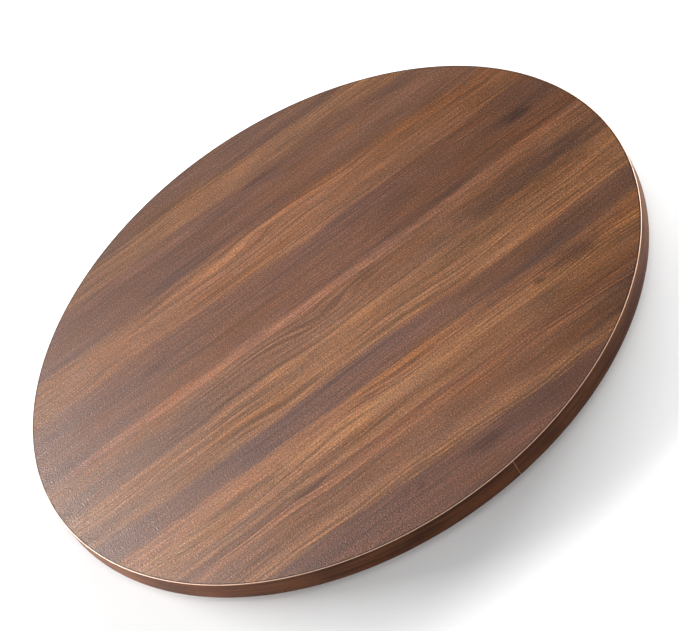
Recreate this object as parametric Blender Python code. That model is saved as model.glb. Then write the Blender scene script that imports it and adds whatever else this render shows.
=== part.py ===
"""Lazy susan turntable: a laminated round board on a two-ring aluminium ball bearing.

The board turns with the inner ring, which is screwed up into its core. The outer ring
stands on rubber feet. Balls in a plastic cage run in the grooves between the two rings.

Metres, +Z up. The origin is where the axis of rotation meets the surface that the feet
stand on, and the wood grain of the board runs along X.
"""

import math

import bmesh
import bpy
from mathutils import Matrix, Vector

# Board
BOARD_DIAMETER = 0.812
BOARD_THICKNESS = 0.025
LAMINATE_THICKNESS = 0.0008
BAND_THICKNESS = 0.0015
BAND_CHAMFER = 0.0010
BAND_JOINT_GAP = 0.0004
BAND_JOINT_ANGLE = math.radians(-82)
BOARD_SEGMENTS = 120

# Ball bearing
PITCH_RADIUS = 0.17475
RING_SPACING = 0.0025
RING_WIDTH = 0.0235
RING_HEIGHT = 0.012
RING_STEP = 0.002
RING_CHAMFER = 0.0006
RING_SEGMENTS = 72
BALL_DIAMETER = 0.00635
BALL_COUNT = 30
CAGE_THICKNESS = 0.0012
CAGE_HEIGHT = 0.009
CAGE_SEGMENTS = 90
POCKET_SEGMENTS = 12
GROOVE_FLAT = 0.001

# Screws that hold the top ring to the board
SCREW_COUNT = 8
SCREW_INSET = 0.0105
SCREW_RADIUS = 0.002
SCREW_HEAD_RADIUS = 0.004
SCREW_HEAD_HEIGHT = 0.0024
SCREW_LENGTH = 0.025
SCREW_TIP_LENGTH = 0.004
SCREW_SINK = 0.0002
RECESS_ARM = 0.0021
RECESS_WIDTH = 0.0009
RECESS_DEPTH = 0.0017
RECESS_TAPER = 0.6
SCREW_SEGMENTS = 16

# Push-in rubber feet
FOOT_COUNT = 8
FOOT_RADIUS = 0.008
FOOT_HEIGHT = 0.004
FOOT_EDGE = 0.0009
FOOT_INSET = 0.0098
STEM_RADIUS = 0.0025
BARB_RADIUS = 0.0034
BARB_HEIGHT = 0.0019
BARB_LAND = 0.0005
BARB_TIP_RADIUS = 0.0018
BARB_RECESS = 0.0025
FOOT_SEGMENTS = 16

# Plug that closes the hole through which the balls are loaded
PLUG_RADIUS = 0.0033
PLUG_SINK = 0.001
PLUG_ANGLE = math.radians(202.5)
PLUG_SOCKET_RADIUS = 0.0023
PLUG_SOCKET_DEPTH = 0.004

# Air that is left between pieces that touch, what a cutter stands past a wall, and
# how near two points of a turned shape lie when they are one
FIT_GAP = 0.0003
OVERCUT = 0.001
WELD_DISTANCE = 1e-6

# Heights and radii that follow from the sizes above
BAND_INNER = BOARD_DIAMETER / 2 - BAND_THICKNESS
PANEL_RADIUS = BAND_INNER - FIT_GAP
BASE_RING_BOTTOM = FOOT_HEIGHT + FIT_GAP
TOP_RING_BOTTOM = BASE_RING_BOTTOM + RING_STEP
GROOVE_HEIGHT = BASE_RING_BOTTOM + (RING_HEIGHT + RING_STEP) / 2
BOARD_BOTTOM = TOP_RING_BOTTOM + RING_HEIGHT + FIT_GAP
BOARD_TOP = BOARD_BOTTOM + BOARD_THICKNESS
TOP_RING_OUTER = PITCH_RADIUS - RING_SPACING / 2
TOP_RING_INNER = TOP_RING_OUTER - RING_WIDTH
BASE_RING_INNER = PITCH_RADIUS + RING_SPACING / 2
BASE_RING_OUTER = BASE_RING_INNER + RING_WIDTH
SCREW_CIRCLE = TOP_RING_INNER + SCREW_INSET
FOOT_CIRCLE = BASE_RING_OUTER - FOOT_INSET
# A 90 degree groove's tip lies this far from the ball's centre
GROOVE_TIP = (BALL_DIAMETER / 2 + FIT_GAP) * math.sqrt(2)

COLOURS = {
    "walnut_laminate": ((0.17, 0.085, 0.045), 0.45, 0.0),
    "walnut_edging": ((0.10, 0.05, 0.03), 0.45, 0.0),
    "fibreboard": ((0.42, 0.29, 0.17), 0.9, 0.0),
    "aluminium": ((0.78, 0.78, 0.80), 0.35, 1.0),
    "ball_steel": ((0.75, 0.75, 0.77), 0.12, 1.0),
    "cage_nylon": ((0.80, 0.78, 0.72), 0.5, 0.0),
    "zinc_steel": ((0.62, 0.60, 0.56), 0.35, 1.0),
    "black_steel": ((0.05, 0.05, 0.055), 0.45, 1.0),
    "rubber": ((0.02, 0.02, 0.02), 0.8, 0.0),
}


def clear_scene():
    for obj in list(bpy.data.objects):
        bpy.data.objects.remove(obj)


def make_materials():
    for name, (colour, roughness, metallic) in COLOURS.items():
        material = bpy.data.materials.new(name)
        material.use_nodes = True
        shader = material.node_tree.nodes["Principled BSDF"]
        shader.inputs["Base Color"].default_value = (*colour, 1.0)
        shader.inputs["Roughness"].default_value = roughness
        shader.inputs["Metallic"].default_value = metallic


def add_empty(name):
    empty = bpy.data.objects.new(name, None)
    bpy.context.scene.collection.objects.link(empty)
    return empty


def add_object(name, mesh, material, parent):
    obj = bpy.data.objects.new(name, mesh)
    bpy.context.scene.collection.objects.link(obj)
    if material and not mesh.materials:
        mesh.materials.append(bpy.data.materials[material])
    obj.parent = parent
    return obj


def finished_mesh(name, bm):
    """Turns a bmesh into a flat-shaded mesh with its faces outwards."""
    bmesh.ops.recalc_face_normals(bm, faces=bm.faces)
    mesh = bpy.data.meshes.new(name)
    bm.to_mesh(mesh)
    bm.free()
    return mesh


def shade_round(mesh, corner_degrees=30):
    """Smooths a mesh that no Boolean cuts, leaving its sharper corners."""
    mesh.shade_smooth()
    mesh.set_sharp_from_angle(angle=math.radians(corner_degrees))


def add_turned(bm, profile, segments, closed=True):
    """Spins a profile of (radius, height) points round Z. A closed one makes a ring.

    An open one starts and ends on the axis. Returns the new vertices.
    """
    others = set(bm.verts)
    verts = [bm.verts.new((radius, 0.0, height)) for radius, height in profile]
    pairs = list(zip(verts, verts[1:]))
    if closed:
        pairs.append((verts[-1], verts[0]))
    edges = [bm.edges.new(pair) for pair in pairs]
    bmesh.ops.spin(
        bm,
        geom=verts + edges,
        cent=(0, 0, 0),
        axis=(0, 0, 1),
        angle=2 * math.pi,
        steps=segments,
        use_merge=True,
    )
    made = [vert for vert in bm.verts if vert not in others]
    bmesh.ops.remove_doubles(bm, verts=made, dist=WELD_DISTANCE)
    return [vert for vert in bm.verts if vert not in others]


def turned_mesh(name, profile, segments, closed=True):
    bm = bmesh.new()
    add_turned(bm, profile, segments, closed)
    return finished_mesh(name, bm)


def polar_angles(count, start=0.0):
    return [start + 2 * math.pi * step / count for step in range(count)]


def polar_cutter(name, profile, segments, circle, angles):
    """One cutter object: copies of a turned shape, standing round a circle."""
    bm = bmesh.new()
    for angle in angles:
        verts = add_turned(bm, profile, segments, closed=False)
        place = Vector((circle * math.cos(angle), circle * math.sin(angle), 0))
        bmesh.ops.translate(bm, verts=verts, vec=place)
    return as_cutter(add_object(name, finished_mesh(name, bm), None, None))


def as_cutter(obj):
    obj.hide_render = True
    obj.display_type = "WIRE"
    return obj


def cut(obj, cutter):
    modifier = obj.modifiers.new("cut_" + cutter.name, "BOOLEAN")
    modifier.operation = "DIFFERENCE"
    modifier.solver = "EXACT"
    modifier.object = cutter


def ring_profile(inner, outer, bottom, top, chamfer):
    """The eight corners of a rectangular section with all its edges broken."""
    return [
        (inner + chamfer, bottom),
        (outer - chamfer, bottom),
        (outer, bottom + chamfer),
        (outer, top - chamfer),
        (outer - chamfer, top),
        (inner + chamfer, top),
        (inner, top - chamfer),
        (inner, bottom + chamfer),
    ]


def groove_profile(side):
    """The ball groove's four corners from low to high. side is +1 outside the balls."""
    face = PITCH_RADIUS + side * RING_SPACING / 2
    tip = PITCH_RADIUS + side * GROOVE_TIP
    half_mouth = abs(tip - face)
    half_flat = GROOVE_FLAT / 2
    floor = tip - side * half_flat
    return [
        (face, GROOVE_HEIGHT - half_mouth),
        (floor, GROOVE_HEIGHT - half_flat),
        (floor, GROOVE_HEIGHT + half_flat),
        (face, GROOVE_HEIGHT + half_mouth),
    ]


def make_screw_hole_cutter():
    """Clearance for the screws through the top ring, the laminate and the core."""
    shaft = SCREW_RADIUS + FIT_GAP
    head = SCREW_HEAD_RADIUS + FIT_GAP
    low = TOP_RING_BOTTOM + SCREW_SINK
    top = low + SCREW_LENGTH + FIT_GAP
    profile = [
        (0, low - OVERCUT),
        (head, low - OVERCUT),
        (head, low),
        (shaft, low + SCREW_HEAD_HEIGHT),
        (shaft, top),
        (0, top),
    ]
    angles = polar_angles(SCREW_COUNT, math.pi / SCREW_COUNT)
    return polar_cutter("screw_holes", profile, SCREW_SEGMENTS, SCREW_CIRCLE, angles)


def make_foot_hole_cutter():
    """Stem holes in the base ring, wider at the top where the barbs spread."""
    ring_top = BASE_RING_BOTTOM + RING_HEIGHT
    stem = STEM_RADIUS + FIT_GAP
    recess = BARB_RADIUS + 2 * FIT_GAP
    profile = [
        (0, BASE_RING_BOTTOM - OVERCUT),
        (stem, BASE_RING_BOTTOM - OVERCUT),
        (stem, ring_top - BARB_RECESS),
        (recess, ring_top - BARB_RECESS),
        (recess, ring_top + OVERCUT),
        (0, ring_top + OVERCUT),
    ]
    angles = polar_angles(FOOT_COUNT)
    return polar_cutter("foot_holes", profile, FOOT_SEGMENTS, FOOT_CIRCLE, angles)


def radial_matrix(radius, angle):
    """Puts a piece made along Z at a radius of the bearing, pointing outwards."""
    outwards = Matrix.Rotation(angle, 4, "Z") @ Matrix.Rotation(math.pi / 2, 4, "Y")
    place = Vector((radius * math.cos(angle), radius * math.sin(angle), GROOVE_HEIGHT))
    return Matrix.Translation(place) @ outwards


def make_board(top):
    board_radius = BOARD_DIAMETER / 2
    core_bottom = BOARD_BOTTOM + LAMINATE_THICKNESS + FIT_GAP
    core_top = BOARD_TOP - LAMINATE_THICKNESS - FIT_GAP
    layers = (
        ("bottom_laminate", BOARD_BOTTOM, BOARD_BOTTOM + LAMINATE_THICKNESS),
        ("board_core", core_bottom, core_top),
        ("top_laminate", BOARD_TOP - LAMINATE_THICKNESS, BOARD_TOP),
    )
    holes = make_screw_hole_cutter()
    for name, low, high in layers:
        profile = [(0, low), (PANEL_RADIUS, low), (PANEL_RADIUS, high), (0, high)]
        mesh = turned_mesh(name, profile, BOARD_SEGMENTS, closed=False)
        material = "fibreboard" if name == "board_core" else "walnut_laminate"
        layer = add_object(name, mesh, material, top)
        if name != "top_laminate":
            cut(layer, holes)
    make_edge_band(top, board_radius)
    return holes


def make_edge_band(top, board_radius):
    """The strip glued round the board, with its ends butted and its corners trimmed."""
    profile = [
        (BAND_INNER, BOARD_BOTTOM),
        (board_radius - BAND_CHAMFER, BOARD_BOTTOM),
        (board_radius, BOARD_BOTTOM + BAND_CHAMFER),
        (board_radius, BOARD_TOP - BAND_CHAMFER),
        (board_radius - BAND_CHAMFER, BOARD_TOP),
        (BAND_INNER, BOARD_TOP),
    ]
    joint = BAND_JOINT_GAP / board_radius
    bm = bmesh.new()
    start = [bm.verts.new((radius, 0, height)) for radius, height in profile]
    edges = [bm.edges.new((a, b)) for a, b in zip(start, start[1:] + start[:1])]
    bm.faces.new(start)
    spun = bmesh.ops.spin(
        bm,
        geom=start + edges,
        cent=(0, 0, 0),
        axis=(0, 0, 1),
        angle=2 * math.pi - joint,
        steps=BOARD_SEGMENTS,
    )
    end_edges = [item for item in spun["geom_last"] if isinstance(item, bmesh.types.BMEdge)]
    bmesh.ops.contextual_create(bm, geom=end_edges)
    mesh = finished_mesh("edge_band", bm)
    shade_round(mesh)
    band = add_object("edge_band", mesh, "walnut_edging", top)
    band.rotation_euler.z = BAND_JOINT_ANGLE + joint / 2


def make_top_ring(top, screw_holes):
    ring_top = TOP_RING_BOTTOM + RING_HEIGHT
    corners = ring_profile(
        TOP_RING_INNER, TOP_RING_OUTER, TOP_RING_BOTTOM, ring_top, RING_CHAMFER
    )
    profile = corners[:3] + groove_profile(-1) + corners[3:]
    mesh = turned_mesh("top_ring", profile, RING_SEGMENTS)
    ring = add_object("top_ring", mesh, "aluminium", top)
    cut(ring, screw_holes)


def make_base_ring(base):
    ring_top = BASE_RING_BOTTOM + RING_HEIGHT
    corners = ring_profile(
        BASE_RING_INNER, BASE_RING_OUTER, BASE_RING_BOTTOM, ring_top, RING_CHAMFER
    )
    profile = corners[:7] + groove_profile(1)[::-1] + corners[7:]
    mesh = turned_mesh("base_ring", profile, RING_SEGMENTS)
    ring = add_object("base_ring", mesh, "aluminium", base)
    cut(ring, make_foot_hole_cutter())
    cut(ring, make_plug_hole_cutter())


def make_plug_hole_cutter():
    length = BASE_RING_OUTER - PITCH_RADIUS + OVERCUT
    radius = PLUG_RADIUS + FIT_GAP
    profile = [(0, 0), (radius, 0), (radius, length), (0, length)]
    mesh = turned_mesh("plug_hole", profile, SCREW_SEGMENTS, closed=False)
    hole = as_cutter(add_object("plug_hole", mesh, None, None))
    hole.matrix_world = radial_matrix(PITCH_RADIUS, PLUG_ANGLE)
    return hole


def make_loading_plug(base):
    """A grub screw whose inner end is shaped to the groove that the balls run in."""
    inner = PITCH_RADIUS
    length = BASE_RING_OUTER - PLUG_SINK - inner
    socket = length - PLUG_SOCKET_DEPTH
    profile = [(0, 0), (PLUG_RADIUS, 0), (PLUG_RADIUS, length), (0, length)]
    mesh = turned_mesh("loading_plug", profile, SCREW_SEGMENTS, closed=False)
    plug = add_object("loading_plug", mesh, "black_steel", base)
    plug.matrix_world = radial_matrix(inner, PLUG_ANGLE)

    hexagon = [
        (0, socket),
        (PLUG_SOCKET_RADIUS, socket),
        (PLUG_SOCKET_RADIUS, length + OVERCUT),
        (0, length + OVERCUT),
    ]
    socket_mesh = turned_mesh("plug_socket", hexagon, 6, closed=False)
    socket_cutter = as_cutter(add_object("plug_socket", socket_mesh, None, None))
    socket_cutter.matrix_world = plug.matrix_world
    cut(plug, socket_cutter)

    # What the balls sweep: the gap between the rings and the groove of the base ring
    half = PLUG_RADIUS + OVERCUT
    clear = [(radius + FIT_GAP, height) for radius, height in groove_profile(1)]
    swept = [
        (inner - OVERCUT, GROOVE_HEIGHT - half),
        (clear[0][0], GROOVE_HEIGHT - half),
        *clear,
        (clear[-1][0], GROOVE_HEIGHT + half),
        (inner - OVERCUT, GROOVE_HEIGHT + half),
    ]
    swept_mesh = turned_mesh("ball_path", swept, RING_SEGMENTS)
    cut(plug, as_cutter(add_object("ball_path", swept_mesh, None, None)))


def make_cage(cage):
    """A thin hoop between the rings, with one round pocket for each ball."""
    half = CAGE_HEIGHT / 2
    inner = PITCH_RADIUS - CAGE_THICKNESS / 2
    outer = PITCH_RADIUS + CAGE_THICKNESS / 2
    profile = [
        (inner, GROOVE_HEIGHT - half),
        (outer, GROOVE_HEIGHT - half),
        (outer, GROOVE_HEIGHT + half),
        (inner, GROOVE_HEIGHT + half),
    ]
    mesh = turned_mesh("ball_cage", profile, CAGE_SEGMENTS)
    hoop = add_object("ball_cage", mesh, "cage_nylon", cage)

    pocket = BALL_DIAMETER / 2 + FIT_GAP
    reach = CAGE_THICKNESS
    section = [(0, -reach), (pocket, -reach), (pocket, reach), (0, reach)]
    bm = bmesh.new()
    for angle in polar_angles(BALL_COUNT):
        verts = add_turned(bm, section, POCKET_SEGMENTS, closed=False)
        bmesh.ops.transform(bm, matrix=radial_matrix(PITCH_RADIUS, angle), verts=verts)
    pockets = add_object("cage_pockets", finished_mesh("cage_pockets", bm), None, None)
    cut(hoop, as_cutter(pockets))


def make_balls(cage):
    bm = bmesh.new()
    bmesh.ops.create_icosphere(bm, subdivisions=2, radius=BALL_DIAMETER / 2)
    mesh = finished_mesh("ball", bm)
    mesh.shade_smooth()
    for number, angle in enumerate(polar_angles(BALL_COUNT), start=1):
        ball = add_object(f"ball_{number:02d}", mesh, "ball_steel", cage)
        ball.location = (
            PITCH_RADIUS * math.cos(angle),
            PITCH_RADIUS * math.sin(angle),
            GROOVE_HEIGHT,
        )


def cross_recess(name):
    """A tapered cross that opens at height 0 and narrows upwards into the head."""
    arm, half = RECESS_ARM, RECESS_WIDTH / 2
    quarter = [(arm, -half), (arm, half), (half, half)]
    outline = [
        Matrix.Rotation(turn * math.pi / 2, 2) @ Vector(point)
        for turn in range(4)
        for point in quarter
    ]
    bm = bmesh.new()
    floor = [bm.verts.new((x, y, -OVERCUT)) for x, y in outline]
    face = bm.faces.new(floor)
    grown = bmesh.ops.extrude_face_region(bm, geom=[face])["geom"]
    roof = [item for item in grown if isinstance(item, bmesh.types.BMVert)]
    bmesh.ops.translate(bm, verts=roof, vec=(0, 0, RECESS_DEPTH + OVERCUT))
    bmesh.ops.scale(bm, verts=roof, vec=(RECESS_TAPER, RECESS_TAPER, 1))
    return as_cutter(add_object(name, finished_mesh(name, bm), None, None))


def make_screws(top):
    """Countersunk screws, heads down. Their thread is left to the finish."""
    straight = SCREW_LENGTH - SCREW_TIP_LENGTH
    profile = [
        (0, 0),
        (SCREW_HEAD_RADIUS, 0),
        (SCREW_RADIUS, SCREW_HEAD_HEIGHT),
        (SCREW_RADIUS, straight),
        (0, SCREW_LENGTH),
    ]
    plain = turned_mesh("plain_screw", profile, SCREW_SEGMENTS, closed=False)
    blank = add_object("screw_blank", plain, "zinc_steel", None)
    recess = cross_recess("screw_recess")
    cut(blank, recess)
    graph = bpy.context.evaluated_depsgraph_get()
    mesh = bpy.data.meshes.new_from_object(blank.evaluated_get(graph))
    mesh.name = "ring_screw"
    bpy.data.objects.remove(blank)
    bpy.data.objects.remove(recess)
    angles = polar_angles(SCREW_COUNT, math.pi / SCREW_COUNT)
    for number, angle in enumerate(angles, start=1):
        screw = add_object(f"ring_screw_{number}", mesh, "zinc_steel", top)
        screw.location = (
            SCREW_CIRCLE * math.cos(angle),
            SCREW_CIRCLE * math.sin(angle),
            TOP_RING_BOTTOM + SCREW_SINK,
        )
        screw.rotation_euler.z = angle


def make_feet(base):
    """Mushroom-shaped feet whose barbed stems are pushed up through the base ring."""
    barb = BASE_RING_BOTTOM + RING_HEIGHT - BARB_RECESS + FIT_GAP
    profile = [
        (0, 0),
        (FOOT_RADIUS - FOOT_EDGE, 0),
        (FOOT_RADIUS, FOOT_EDGE),
        (FOOT_RADIUS, FOOT_HEIGHT),
        (STEM_RADIUS, FOOT_HEIGHT),
        (STEM_RADIUS, barb),
        (BARB_RADIUS, barb),
        (BARB_RADIUS, barb + BARB_LAND),
        (BARB_TIP_RADIUS, barb + BARB_HEIGHT),
        (0, barb + BARB_HEIGHT),
    ]
    mesh = turned_mesh("rubber_foot", profile, FOOT_SEGMENTS, closed=False)
    shade_round(mesh)
    for number, angle in enumerate(polar_angles(FOOT_COUNT), start=1):
        foot = add_object(f"rubber_foot_{number}", mesh, "rubber", base)
        foot.location = (
            FOOT_CIRCLE * math.cos(angle),
            FOOT_CIRCLE * math.sin(angle),
            0,
        )


def main():
    clear_scene()
    make_materials()
    base = add_empty("base_frame")
    cage = add_empty("cage_axis")
    top = add_empty("turntable_axis")
    screw_holes = make_board(top)
    make_top_ring(top, screw_holes)
    make_screws(top)
    make_cage(cage)
    make_balls(cage)
    make_base_ring(base)
    make_loading_plug(base)
    make_feet(base)


main()
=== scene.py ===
import math

import bmesh
import bpy
from mathutils import Matrix, Vector


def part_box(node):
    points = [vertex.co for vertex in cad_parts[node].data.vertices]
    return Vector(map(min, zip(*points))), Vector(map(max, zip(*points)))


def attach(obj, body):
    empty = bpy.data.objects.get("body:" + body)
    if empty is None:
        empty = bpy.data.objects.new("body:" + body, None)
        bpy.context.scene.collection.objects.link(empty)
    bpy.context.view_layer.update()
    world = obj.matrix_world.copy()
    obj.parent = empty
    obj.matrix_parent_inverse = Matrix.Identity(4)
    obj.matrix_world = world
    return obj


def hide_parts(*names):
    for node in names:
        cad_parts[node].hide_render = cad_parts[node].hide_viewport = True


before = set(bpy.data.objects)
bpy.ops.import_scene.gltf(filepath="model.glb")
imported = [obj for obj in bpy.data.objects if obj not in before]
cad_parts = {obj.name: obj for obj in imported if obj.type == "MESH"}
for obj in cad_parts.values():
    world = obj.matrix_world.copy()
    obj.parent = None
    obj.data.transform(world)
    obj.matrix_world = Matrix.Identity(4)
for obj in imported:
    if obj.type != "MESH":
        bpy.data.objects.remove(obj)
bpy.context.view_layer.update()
print("frame loaded:", len(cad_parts), "nodes")


# small helpers for colours, nodes and turned shapes

def paint(red, green, blue):
    # screen values 0-255 to the linear colour that a socket takes
    def linear(value):
        value /= 255
        return value / 12.92 if value <= 0.04045 else ((value + 0.055) / 1.055) ** 2.4
    return (linear(red), linear(green), linear(blue), 1.0)


def place(tree, kind, sockets=None, **settings):
    node = tree.nodes.new(kind)
    for key, value in settings.items():
        setattr(node, key, value)
    for key, value in (sockets or {}).items():
        if isinstance(value, bpy.types.NodeSocket):
            tree.links.new(value, node.inputs[key])
        else:
            node.inputs[key].default_value = value
    return node


def maths(tree, operation, first, second=0.0):
    return place(tree, "ShaderNodeMath", {0: first, 1: second}, operation=operation).outputs[0]


def times(tree, first, second):
    return maths(tree, "MULTIPLY", first, second)


def plus(tree, base, value, amount):
    return maths(tree, "ADD", base, times(tree, value, amount))


def minus(tree, base, value, amount):
    return maths(tree, "SUBTRACT", base, times(tree, value, amount))


def fromAxis(tree, vector):
    # distance from the Z axis
    flat = place(tree, "ShaderNodeVectorMath", {0: vector, 1: (1, 1, 0)}, operation="MULTIPLY")
    return place(tree, "ShaderNodeVectorMath", {0: flat.outputs[0]}, operation="LENGTH").outputs["Value"]


def remap(tree, value, low, high, newLow=0.0, newHigh=1.0, smooth=True):
    sockets = {"Value": value, "From Min": low, "From Max": high, "To Min": newLow, "To Max": newHigh}
    node = place(tree, "ShaderNodeMapRange", sockets,
                 interpolation_type="SMOOTHSTEP" if smooth else "LINEAR")
    return node.outputs["Result"]


def blendColour(tree, mode, amount, first, second):
    node = place(tree, "ShaderNodeMix", data_type="RGBA", blend_type=mode)
    for index, value in ((0, amount), (6, first), (7, second)):
        if isinstance(value, bpy.types.NodeSocket):
            tree.links.new(value, node.inputs[index])
        else:
            node.inputs[index].default_value = value
    return node.outputs[2]


def between(tree, value, low, high, first, second):
    # the first colour, turning into the second as the value climbs from low to high
    return blendColour(tree, "MIX", remap(tree, value, low, high), paint(*first), paint(*second))


def newGroup(name, inputs, outputs):
    tree = bpy.data.node_groups.new(name, "ShaderNodeTree")
    for label, value in inputs.items():
        kind = "NodeSocketVector" if value == "vector" else "NodeSocketFloat"
        socket = tree.interface.new_socket(label, in_out="INPUT", socket_type=kind)
        if value != "vector":
            socket.default_value = value
    for label, kind in outputs.items():
        tree.interface.new_socket(label, in_out="OUTPUT", socket_type="NodeSocket" + kind)
    return tree, tree.nodes.new("NodeGroupInput").outputs, tree.nodes.new("NodeGroupOutput").inputs


def useGroup(tree, group, **sockets):
    node = tree.nodes.new("ShaderNodeGroup")
    node.node_tree = group
    for key, value in sockets.items():
        label = key[0].upper() + key[1:]
        if isinstance(value, bpy.types.NodeSocket):
            tree.links.new(value, node.inputs[label])
        else:
            node.inputs[label].default_value = value
    return node.outputs


def newMaterial(name, colour, roughness, metallic=0.0, specular=0.5):
    material = bpy.data.materials.new(name)
    material.use_nodes = True
    tree = material.node_tree
    shader = tree.nodes["Principled BSDF"]
    shader.inputs["Base Color"].default_value = colour
    shader.inputs["Roughness"].default_value = roughness
    shader.inputs["Metallic"].default_value = metallic
    shader.inputs["Specular IOR Level"].default_value = specular
    here = place(tree, "ShaderNodeTexCoord").outputs["Object"]
    return material, tree, shader, here


def dress(tree, shader, colour, gloss=None, height=None, depth=0.0001, strength=1.0):
    # joins a finish's colour, roughness and relief to its shader
    tree.links.new(colour, shader.inputs["Base Color"])
    if gloss is not None:
        tree.links.new(gloss, shader.inputs["Roughness"])
    if height is not None:
        bump = place(tree, "ShaderNodeBump", {"Height": height, "Distance": depth, "Strength": strength})
        tree.links.new(bump.outputs["Normal"], shader.inputs["Normal"])


def softCorners(outline, closed=True, steps=4):
    # outline points are (radius, height, fillet); each fillet becomes a short arc
    points = []
    count = len(outline)
    for index, (radius, height, fillet) in enumerate(outline):
        corner = Vector((radius, height))
        atEnd = not closed and index in (0, count - 1)
        if fillet == 0 or atEnd:
            points.append(corner)
            continue
        before = Vector(outline[index - 1][:2]) - corner
        after = Vector(outline[(index + 1) % count][:2]) - corner
        half = before.angle(after) / 2
        reach = fillet / math.tan(half)
        before.normalize()
        after.normalize()
        middle = corner + (before + after).normalized() * fillet / math.sin(half)
        start = corner + before * reach - middle
        end = corner + after * reach - middle
        points += [middle + start.slerp(end, step / steps) * fillet for step in range(steps + 1)]
    return [(point.x, point.y) for point in points]


def turn(bm, profile, segments, closed=True, at=Matrix.Identity(4)):
    # turns (radius, height) points round Z; a radius of 0 makes one pole
    poles = {}
    columns = []
    for step in range(segments):
        angle = 2 * math.pi * step / segments
        column = []
        for index, (radius, height) in enumerate(profile):
            point = at @ Vector((radius * math.cos(angle), radius * math.sin(angle), height))
            if radius > 0:
                column.append(bm.verts.new(point))
                continue
            if index not in poles:
                poles[index] = bm.verts.new(point)
            column.append(poles[index])
        columns.append(column)
    count = len(profile)
    for step in range(segments):
        here, there = columns[step], columns[(step + 1) % segments]
        for index in range(count if closed else count - 1):
            after = (index + 1) % count
            corners = [here[index], there[index], there[after], here[after]]
            bm.faces.new(list(dict.fromkeys(corners)))


def newPiece(name, bm, material, cornerDegrees=35):
    bmesh.ops.recalc_face_normals(bm, faces=bm.faces)
    mesh = bpy.data.meshes.new(name)
    bm.to_mesh(mesh)
    bm.free()
    mesh.materials.append(material)
    piece = bpy.data.objects.new(name, mesh)
    bpy.context.scene.collection.objects.link(piece)
    shadeSoftly(piece, cornerDegrees)
    return piece


def shadeSoftly(piece, cornerDegrees=35):
    piece.data.shade_smooth()
    piece.data.set_sharp_from_angle(angle=math.radians(cornerDegrees))


def carve(piece, cutterMesh):
    # subtracts the closed shapes in a bmesh, and keeps the result as plain mesh
    cutter = newPiece("cutter", cutterMesh, piece.data.materials[0])
    cutting = piece.modifiers.new("carve", "BOOLEAN")
    cutting.operation = "DIFFERENCE"
    cutting.solver = "EXACT"
    cutting.object = cutter
    graph = bpy.context.evaluated_depsgraph_get()
    carved = bpy.data.meshes.new_from_object(piece.evaluated_get(graph))
    piece.modifiers.clear()
    piece.data = carved
    bpy.data.objects.remove(cutter)
    shadeSoftly(piece)


def keepFlatsFlat(piece):
    weights = piece.modifiers.new("flats", "WEIGHTED_NORMAL")
    weights.keep_sharp = True
    weights.weight = 100


def stands(piece, body, slot, *nodes):
    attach(piece, body)
    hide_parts(*nodes)


# shader groups that several finishes share

def joined(tree, x, y, z=0.0):
    return place(tree, "ShaderNodeCombineXYZ", {"X": x, "Y": y, "Z": z}).outputs[0]


def ovalSquare(tree, vector, x, y, halfLength, halfWidth):
    # squared distance from a centre, counted in half lengths and half widths
    parts = place(tree, "ShaderNodeSeparateXYZ", {0: vector}).outputs
    offX = maths(tree, "DIVIDE", maths(tree, "SUBTRACT", parts["X"], x), halfLength)
    offY = maths(tree, "DIVIDE", maths(tree, "SUBTRACT", parts["Y"], y), halfWidth)
    return maths(tree, "ADD", times(tree, offX, offX), times(tree, offY, offY))


def makeFibreGroup():
    # long soft streaks that run along X; centred on 0, and different for each seed
    tree, given, result = newGroup(
        "fibre",
        {"Vector": "vector", "Along": 4.0, "Across": 60.0, "Detail": 2.0, "Seed": 0.0},
        {"Value": "Float"},
    )
    scale = joined(tree, given["Along"], given["Across"])
    start = joined(tree, given["Seed"], given["Seed"])
    stretched = place(tree, "ShaderNodeVectorMath", {0: given["Vector"], 1: scale, 2: start},
                      operation="MULTIPLY_ADD").outputs[0]
    sockets = {"Vector": stretched, "Scale": 1.0, "Detail": given["Detail"], "Roughness": 0.55}
    noise = place(tree, "ShaderNodeTexNoise", sockets, noise_dimensions="2D")
    tree.links.new(maths(tree, "SUBTRACT", noise.outputs["Fac"], 0.5), result["Value"])
    return tree


def makePatchGroup():
    # an elongated smudge with ragged ends, 1 in its middle and 0 outside
    tree, given, result = newGroup(
        "grainPatch",
        {"Vector": "vector", "X": 0.0, "Y": 0.0, "Length": 0.1, "Width": 0.02, "Ragged": 0.0},
        {"Mask": "Float"},
    )
    square = ovalSquare(tree, given["Vector"], given["X"], given["Y"], given["Length"], given["Width"])
    away = maths(tree, "ADD", maths(tree, "SQRT", square), given["Ragged"])
    tree.links.new(remap(tree, away, 1.15, 0.25), result["Mask"])
    return tree


def makePoreGroup():
    # short dark dashes, open pores pressed into the surface
    tree, given, result = newGroup(
        "pores",
        {"Vector": "vector", "Along": 70.0, "Across": 1500.0, "Amount": 0.5},
        {"Mask": "Float"},
    )
    scale = joined(tree, given["Along"], given["Across"])
    stretched = place(tree, "ShaderNodeVectorMath", {0: given["Vector"], 1: scale},
                      operation="MULTIPLY").outputs[0]
    noise = place(tree, "ShaderNodeTexNoise", {"Vector": stretched, "Scale": 1.0, "Detail": 1.0},
                  noise_dimensions="2D")
    dash = remap(tree, noise.outputs["Fac"], 0.54, 0.68)  # only the peaks of the noise
    tree.links.new(times(tree, dash, given["Amount"]), result["Mask"])
    return tree


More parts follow.
